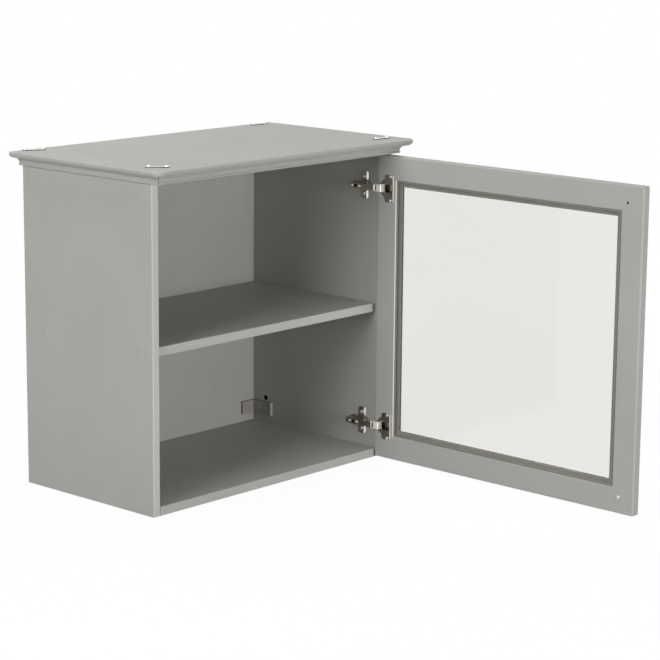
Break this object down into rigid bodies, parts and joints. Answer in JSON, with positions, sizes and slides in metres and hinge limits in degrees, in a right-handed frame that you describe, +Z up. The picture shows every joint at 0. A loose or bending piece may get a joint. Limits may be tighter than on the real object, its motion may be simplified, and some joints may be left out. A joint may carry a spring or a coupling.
{
  "type": "kitchen wall cabinet",
  "caption": "Grey painted kitchen wall cabinet with a moulded cornice, a fixed shelf and a glazed door on concealed cup hinges; corner brackets fix it to the wall.",
  "frame": {"origin": "on the wall plane, at the bottom centre of the cabinet's back", "axes": "+X to the right seen from the front, +Y into the wall, +Z up; the front looks along -Y"},
  "size_m": [0.662, 0.932, 0.6129],
  "materials": {
    "grey_paint": "satin grey paint",
    "nickel_plate": "nickel plate",
    "zinc_plate": "zinc plate",
    "bracket_paint": "satin grey paint on sheet steel",
    "clear_glass": "clear",
    "gasket_rubber": "matt",
    "cap_plastic": "grey plastic",
    "dowel_wood": "bare beech"
  },
  "bodies": {
    "carcass": {"back_panel": "grey_paint", "back_panel_nails": "zinc_plate", "bottom_panel": "grey_paint", "bracket_screws": "zinc_plate", "carcass_dowels": "dowel_wood", "carcass_screws": "zinc_plate", "crown_board": "grey_paint", "crown_screws": "zinc_plate", "front_left_strap": "zinc_plate", "front_moulding": "grey_paint", "front_right_strap": "zinc_plate", "hinge_arm_pins": "nickel_plate", "hinge_arm_screws": "nickel_plate", "hinge_plate_screws": "nickel_plate", "left_moulding": "grey_paint", "left_side_panel": "grey_paint", "lower_hinge_arm": "nickel_plate", "lower_hinge_plate": "nickel_plate", "lower_left_bracket": "bracket_paint", "lower_right_bracket": "bracket_paint", "moulding_pins": "zinc_plate", "rear_left_strap": "zinc_plate", "rear_right_strap": "zinc_plate", "right_moulding": "grey_paint", "right_side_panel": "grey_paint", "screw_cover_caps": "cap_plastic", "shelf": "grey_paint", "strap_screws": "zinc_plate", "top_panel": "grey_paint", "top_panel_screws": "zinc_plate", "upper_hinge_arm": "nickel_plate", "upper_hinge_plate": "nickel_plate", "upper_left_bracket": "bracket_paint", "upper_right_bracket": "bracket_paint"},
    "hinge_links": {"upper_hinge_link": "nickel_plate", "lower_hinge_link": "nickel_plate"},
    "door": {"door_hinge_stile": "grey_paint", "door_free_stile": "grey_paint", "door_top_rail": "grey_paint", "door_bottom_rail": "grey_paint", "glass_pane": "clear_glass", "glazing_gasket": "gasket_rubber", "upper_hinge_cup": "nickel_plate", "lower_hinge_cup": "nickel_plate", "cup_screws": "nickel_plate", "cup_pins": "nickel_plate", "door_knob": "nickel_plate", "knob_screw": "nickel_plate"}
  },
  "joints": [
    {"name": "link_swing", "type": "hinge", "parent": "carcass", "child": "hinge_links", "pos_m": [0.266, -0.332, 0.29225], "axis": [0, 0, 1], "range_deg": [-6, 36]},
    {"name": "door_turn", "type": "hinge", "parent": "hinge_links", "child": "door", "pos_m": [0.27754, -0.34848, 0.29225], "axis": [0, 0, 1], "range_deg": [-134, 29]}
  ],
  "couplings": [
    {"joint": "door_turn", "follows": "link_swing", "ratio": -3.5}
  ]
}
